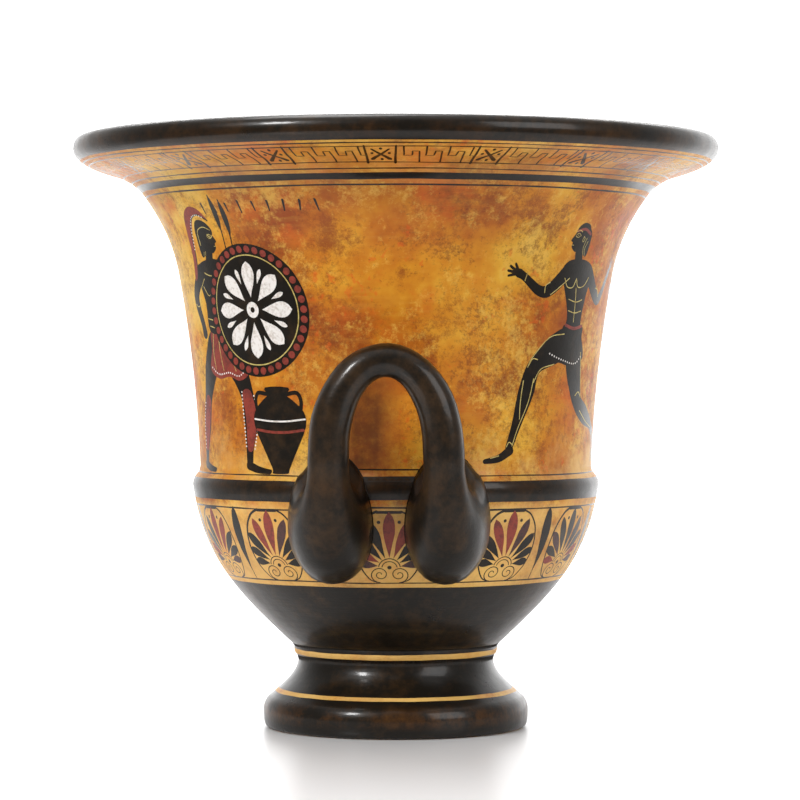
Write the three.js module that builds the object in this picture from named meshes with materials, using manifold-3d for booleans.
// A fired-clay mixing bowl (krater) on a spreading foot, with two upright loop handles.
// Millimetres, +Z up. The origin is the middle of the foot's underside. The handles stand at -Y and +Y.
import * as THREE from "three";
import { mergeVertices } from "three/addons/utils/BufferGeometryUtils.js";
import Module from "manifold-3d";

// Body: radii are to the outside, levels are above the foot's underside
const HEIGHT = 320; // to the top of the lip
const LIP_RADIUS = 175.4; // widest point of the rolled lip
const THROAT_RADIUS = 138.2; // under the flare of the mouth
const FLARE_RADIUS = 118.2; // where the wall starts to swing out
const WAIST_RADIUS = 106.5; // narrowest part of the wall, just over the ridge
const RIDGE_RADIUS = 110.6; // moulded ridge between lower bowl and wall
const RIDGE_LEVEL = 131.5;
const RIDGE_HEIGHT = 10.6; // from the ridge's widest line to the waist
const BOWL_FOOT_RADIUS = 56.6; // where the lower bowl springs from the stem
const BOWL_FOOT_LEVEL = 45.6;
const THROAT_DROP = 30.2; // throat below the lip's top
const FLARE_DROP = 73.5; // start of the flare below the lip's top

// Rolled lip
const LIP_THICKNESS = 17.5; // top of the lip to its underside
const LIP_WIDTH = 18; // wall of the mouth to the lip's outer edge
const LIP_BELLY_DROP = 6.8; // widest line below the lip's top

// Stem and foot
const RING_RADIUS = 55.4; // small raised ring under the bowl
const RING_HEIGHT = 6;
const NECK_RADIUS = 52.9;
const FOOT_RADIUS = 72;
const FOOT_EDGE_HEIGHT = 17; // full height of the foot's rounded edge
const FOOT_EDGE_ROUND = 2.5; // edge rounded in to the resting ring
const REST_WIDTH = 11; // flat ring that the krater stands on

// Fired thickness
const WALL = 7.6;
const STEM_WALL = 11;
const FLOOR = 9; // bowl floor over the hollow of the foot
const RECESS_DEPTH = 37; // hollow under the foot

// Handles
const ROD = 19.5; // leg diameter
const ROD_AT_TOP = 17.3;
const LEG_SPACING = 57.8; // between the centrelines of the two legs
const ROOT_SPACING = 60;
const ROOT_WIDTH = 43; // lobe on the wall that each leg grows from
const ROOT_HEIGHT = 68;
const ROOT_DROP = 16.5; // lobe's middle below the ridge
const ROOT_DEPTH = 30; // the lobe's section starts this far inside the bowl's outer face
const STANDOFF = 39; // wall to the leg's centreline
const LEAN = 4; // the arch's top leans out past the legs
const LEG_RISE = 33.5; // ridge to where the arch begins
const ARCH_RISE = 33.5; // from there to the centreline's top

// Faceting
const TURN_SEGMENTS = 56;
const ROD_SIDES = 12;
const LEG_STEPS = 9;
const ARCH_STEPS = 14;

const { lerp, smoothstep } = THREE.MathUtils;
const at = (radius, level) => new THREE.Vector2(radius, level);
const bend = (steps, start, control, end) =>
  new THREE.QuadraticBezierCurve(start, control, end).getPoints(steps);
const sweep = (steps, start, leaving, arriving, end) =>
  new THREE.CubicBezierCurve(start, leaving, arriving, end).getPoints(steps);

// Curves laid end to end, without the doubled points where they meet.
function chain(...curves) {
  const points = curves.flat();
  return points.filter((p, i) => i === 0 || p.distanceTo(points[i - 1]) > 0.01);
}

// Lower bowl: springs from the stem and fills out to the ridge.
function lowerBowl(steps) {
  const width = RIDGE_RADIUS - BOWL_FOOT_RADIUS;
  const rise = RIDGE_LEVEL - BOWL_FOOT_LEVEL;
  return sweep(
    steps,
    at(BOWL_FOOT_RADIUS, BOWL_FOOT_LEVEL),
    at(BOWL_FOOT_RADIUS + 0.61 * width, BOWL_FOOT_LEVEL + 0.35 * rise),
    at(BOWL_FOOT_RADIUS + 0.89 * width, BOWL_FOOT_LEVEL + 0.56 * rise),
    at(RIDGE_RADIUS, RIDGE_LEVEL),
  );
}

// Ridge: a soft moulding that steps in to the waist.
function ridge(steps) {
  const middle = at(lerp(RIDGE_RADIUS, WAIST_RADIUS, 0.55), RIDGE_LEVEL + 0.58 * RIDGE_HEIGHT);
  return chain(
    bend(steps, at(RIDGE_RADIUS, RIDGE_LEVEL), at(RIDGE_RADIUS, RIDGE_LEVEL + 0.35 * RIDGE_HEIGHT), middle),
    bend(
      steps,
      middle,
      at(WAIST_RADIUS, RIDGE_LEVEL + 0.75 * RIDGE_HEIGHT),
      at(WAIST_RADIUS, RIDGE_LEVEL + RIDGE_HEIGHT),
    ),
  );
}

// Wall: almost upright from the waist, then swinging out to the throat and on to the mouth.
function wall(steps) {
  const waist = at(WAIST_RADIUS, RIDGE_LEVEL + RIDGE_HEIGHT);
  const flare = at(FLARE_RADIUS, HEIGHT - FLARE_DROP);
  const throat = at(THROAT_RADIUS, HEIGHT - THROAT_DROP);
  const mouth = at(LIP_RADIUS - LIP_WIDTH, HEIGHT - LIP_THICKNESS - 2);
  return chain(
    bend(steps, waist, at(lerp(waist.x, flare.x, 0.18), lerp(waist.y, flare.y, 0.5)), flare),
    bend(steps, flare, at(lerp(flare.x, throat.x, 0.21), lerp(flare.y, throat.y, 0.52)), throat),
    bend(steps, throat, at(lerp(throat.x, mouth.x, 0.38), lerp(throat.y, mouth.y, 0.76)), mouth),
  );
}

// Rolled lip, from the underside of the mouth over the top to the inside.
function lip(steps) {
  const under = at(LIP_RADIUS - LIP_WIDTH, HEIGHT - LIP_THICKNESS - 2);
  const belly = at(LIP_RADIUS, HEIGHT - LIP_BELLY_DROP);
  const top = at(LIP_RADIUS - 0.38 * LIP_WIDTH, HEIGHT);
  const inside = at(LIP_RADIUS - LIP_WIDTH, HEIGHT - LIP_THICKNESS + 7);
  return chain(
    sweep(
      steps,
      under,
      at(lerp(under.x, belly.x, 0.5), lerp(under.y, belly.y, 0.22)),
      at(LIP_RADIUS, lerp(under.y, belly.y, 0.5)),
      belly,
    ),
    bend(steps, belly, at(LIP_RADIUS, HEIGHT), top),
    sweep(
      steps,
      top,
      at(lerp(top.x, inside.x, 0.45), HEIGHT),
      at(lerp(top.x, inside.x, 0.7), lerp(top.y, inside.y, 0.6)),
      inside,
    ),
  );
}

// Foot and stem, from the resting ring's outer edge up to the lower bowl.
function footAndStem() {
  const ringTop = at(RING_RADIUS - 0.5, BOWL_FOOT_LEVEL - 0.7);
  const ringMiddle = at(RING_RADIUS, BOWL_FOOT_LEVEL - 0.5 * RING_HEIGHT);
  const neck = at(NECK_RADIUS, BOWL_FOOT_LEVEL - RING_HEIGHT - 1);
  const shoulder = at(lerp(NECK_RADIUS, FOOT_RADIUS, 0.8), FOOT_EDGE_HEIGHT);
  const edge = at(FOOT_RADIUS, 0.5 * FOOT_EDGE_HEIGHT);
  const rise = neck.y - shoulder.y;
  return chain(
    bend(3, at(FOOT_RADIUS - FOOT_EDGE_ROUND, 0), at(FOOT_RADIUS, 0), edge),
    bend(3, edge, at(FOOT_RADIUS, 0.85 * FOOT_EDGE_HEIGHT), shoulder),
    sweep(
      5,
      shoulder,
      at(lerp(shoulder.x, neck.x, 0.5), shoulder.y + 0.33 * rise),
      at(neck.x, shoulder.y + 0.55 * rise),
      neck,
    ),
    bend(2, neck, at(RING_RADIUS, BOWL_FOOT_LEVEL - RING_HEIGHT), ringMiddle),
    bend(2, ringMiddle, at(RING_RADIUS, BOWL_FOOT_LEVEL - 1.2), ringTop),
  );
}

// Hollow under the foot, from the axis out to the resting ring's inner edge.
function recess() {
  const mouth = at(FOOT_RADIUS - FOOT_EDGE_ROUND - REST_WIDTH, 0);
  const roof = at(0.8 * (NECK_RADIUS - STEM_WALL), RECESS_DEPTH);
  return chain(
    [at(0, RECESS_DEPTH)],
    sweep(
      5,
      roof,
      at(NECK_RADIUS - STEM_WALL, RECESS_DEPTH),
      at(NECK_RADIUS - STEM_WALL, 0.5 * RECESS_DEPTH),
      mouth,
    ),
  );
}

// A line moved inwards by one thickness, square to itself.
function inwards(points, thickness) {
  return points.map((p, i) => {
    const before = points[Math.max(i - 1, 0)];
    const after = points[Math.min(i + 1, points.length - 1)];
    const along = after.clone().sub(before).normalize();
    return at(p.x - thickness * along.y, p.y + thickness * along.x);
  });
}

// Outside radius of the bowl at one level.
function outsideRadius(level) {
  const line = chain(lowerBowl(24), ridge(6), wall(24));
  const next = line.findIndex((p) => p.y >= level);
  const [low, high] = [line[next - 1], line[next]];
  return lerp(low.x, high.x, (level - low.y) / (high.y - low.y));
}

// A profile of radius and level turned round the Z axis.
function turned(profile) {
  return new THREE.LatheGeometry(profile, TURN_SEGMENTS).rotateX(Math.PI / 2);
}

// Foot, stem, bowl and lip in one profile, closed on the axis under and inside the bowl.
function vessel() {
  const floorLevel = RECESS_DEPTH + FLOOR;
  const inside = inwards(chain(lowerBowl(5), wall(2)), WALL);
  const mouth = lip(3);
  const rising = inside.filter((p) => p.y > floorLevel + 0.5 * WALL && p.y < mouth.at(-1).y - 1);
  const first = rising[0];
  const outside = chain(footAndStem(), lowerBowl(7), ridge(2), wall(4), mouth);
  const floor = bend(3, first, at(0.8 * first.x, floorLevel), at(0.45 * first.x, floorLevel));
  return turned(chain(recess(), outside, rising.reverse(), floor, [at(0, floorLevel)]));
}

// Everything inside the middle of the bowl's wall, which trims the handles' roots.
function core() {
  const middle = inwards(chain(lowerBowl(8), wall(4)), 0.5 * WALL);
  return turned([at(0, middle[0].y), ...middle, at(0, middle.at(-1).y)]);
}

// Centreline of the handle at -Y, with the section's half sizes at each station.
// The first half size lies across the handle, the second along the wall.
function handleStations() {
  const rootLevel = RIDGE_LEVEL - ROOT_DROP;
  const archLevel = RIDGE_LEVEL + LEG_RISE;
  const rootRadius = outsideRadius(rootLevel) - 2 * WALL;
  const legRadius = outsideRadius(archLevel) + STANDOFF;
  const reach = legRadius - rootRadius;
  const leg = new THREE.CubicBezierCurve(
    at(rootRadius, rootLevel + 2),
    at(rootRadius + 0.63 * reach, rootLevel - 8),
    at(legRadius - 0.03 * reach, lerp(archLevel, rootLevel, 0.62)),
    at(legRadius, archLevel),
  ).getPoints(LEG_STEPS);
  const rising = leg.map((p, i) => {
    const t = i / LEG_STEPS;
    const spread = 1 - smoothstep(t, 0.05, 0.8);
    return {
      place: new THREE.Vector3(0.5 * lerp(ROOT_SPACING, LEG_SPACING, t), -p.x, p.y),
      across: 0.5 * lerp(ROD, ROOT_WIDTH, spread),
      upright: 0.5 * lerp(ROD, ROOT_HEIGHT, spread),
    };
  });
  const arch = [];
  for (let i = 1; i < ARCH_STEPS; i++) {
    const angle = (Math.PI * i) / ARCH_STEPS;
    const radius = legRadius + LEAN * Math.sin(angle);
    const half = 0.5 * lerp(ROD, ROD_AT_TOP, Math.sin(angle));
    arch.push({
      place: new THREE.Vector3(
        0.5 * LEG_SPACING * Math.cos(angle),
        -radius,
        archLevel + ARCH_RISE * Math.sin(angle),
      ),
      across: half,
      upright: half,
    });
  }
  const { place: start, ...rootSizes } = rising[0];
  rising.unshift({ place: start.clone().setY(ROOT_DEPTH - outsideRadius(rootLevel)), ...rootSizes });
  const falling = rising
    .map(({ place, ...sizes }) => ({ place: new THREE.Vector3(-place.x, place.y, place.z), ...sizes }))
    .reverse();
  return [...rising, ...arch, ...falling];
}

// Closed mesh of elliptic sections along the stations, with flat ends.
function handle() {
  const stations = handleStations();
  const side = new THREE.Vector3(1, 0, 0);
  const positions = [];
  stations.forEach(({ place, across, upright }, i) => {
    const before = stations[Math.max(i - 1, 0)].place;
    const after = stations[Math.min(i + 1, stations.length - 1)].place;
    const along = after.clone().sub(before).normalize();
    side.addScaledVector(along, -side.dot(along)).normalize();
    const normal = new THREE.Vector3().crossVectors(along, side);
    for (let k = 0; k < ROD_SIDES; k++) {
      const angle = (2 * Math.PI * k) / ROD_SIDES;
      const point = place
        .clone()
        .addScaledVector(side, across * Math.cos(angle))
        .addScaledVector(normal, upright * Math.sin(angle));
      positions.push(...point.toArray());
    }
  });
  const faces = [];
  const last = (stations.length - 1) * ROD_SIDES;
  for (let k = 0; k < ROD_SIDES; k++) {
    const next = (k + 1) % ROD_SIDES;
    for (let ring = 0; ring < last; ring += ROD_SIDES) {
      faces.push(ring + k, ring + next, ring + ROD_SIDES + next);
      faces.push(ring + k, ring + ROD_SIDES + next, ring + ROD_SIDES + k);
    }
    if (k > 0 && next > 0) {
      faces.push(0, next, k);
      faces.push(last, last + k, last + next);
    }
  }
  const geometry = new THREE.BufferGeometry();
  geometry.setAttribute("position", new THREE.Float32BufferAttribute(positions, 3));
  geometry.setIndex(faces);
  return geometry;
}

const wasm = await Module();
wasm.setup();

// A closed geometry as a solid for joining and cutting.
function solid(geometry) {
  geometry.deleteAttribute("normal");
  geometry.deleteAttribute("uv");
  const merged = mergeVertices(geometry, 1e-3);
  const corners = [];
  for (let i = 0; i < merged.index.count; i += 3) {
    const [a, b, c] = [0, 1, 2].map((k) => merged.index.getX(i + k));
    if (a !== b && b !== c && c !== a) corners.push(a, b, c);
  }
  return new wasm.Manifold(
    new wasm.Mesh({
      numProp: 3,
      vertProperties: merged.attributes.position.array,
      triVerts: new Uint32Array(corners),
    }),
  );
}

// The krater is fired in one piece: the handles' roots run into the bowl's wall.
function kraterGeometry() {
  const inner = solid(core());
  const near = solid(handle()).subtract(inner);
  const far = solid(handle().rotateZ(Math.PI)).subtract(inner);
  const { vertProperties, triVerts } = solid(vessel()).add(near).add(far).getMesh();
  const geometry = new THREE.BufferGeometry();
  geometry.setAttribute("position", new THREE.BufferAttribute(vertProperties, 3));
  geometry.setIndex(new THREE.BufferAttribute(triVerts, 1));
  geometry.computeVertexNormals();
  return geometry;
}

const paintedClay = new THREE.MeshStandardMaterial({
  color: "#c88a3c",
  roughness: 0.35,
  metalness: 0,
  flatShading: true,
});
const krater = new THREE.Mesh(kraterGeometry(), paintedClay);
krater.name = "krater";

const group = new THREE.Group();
group.add(krater);

export default group;
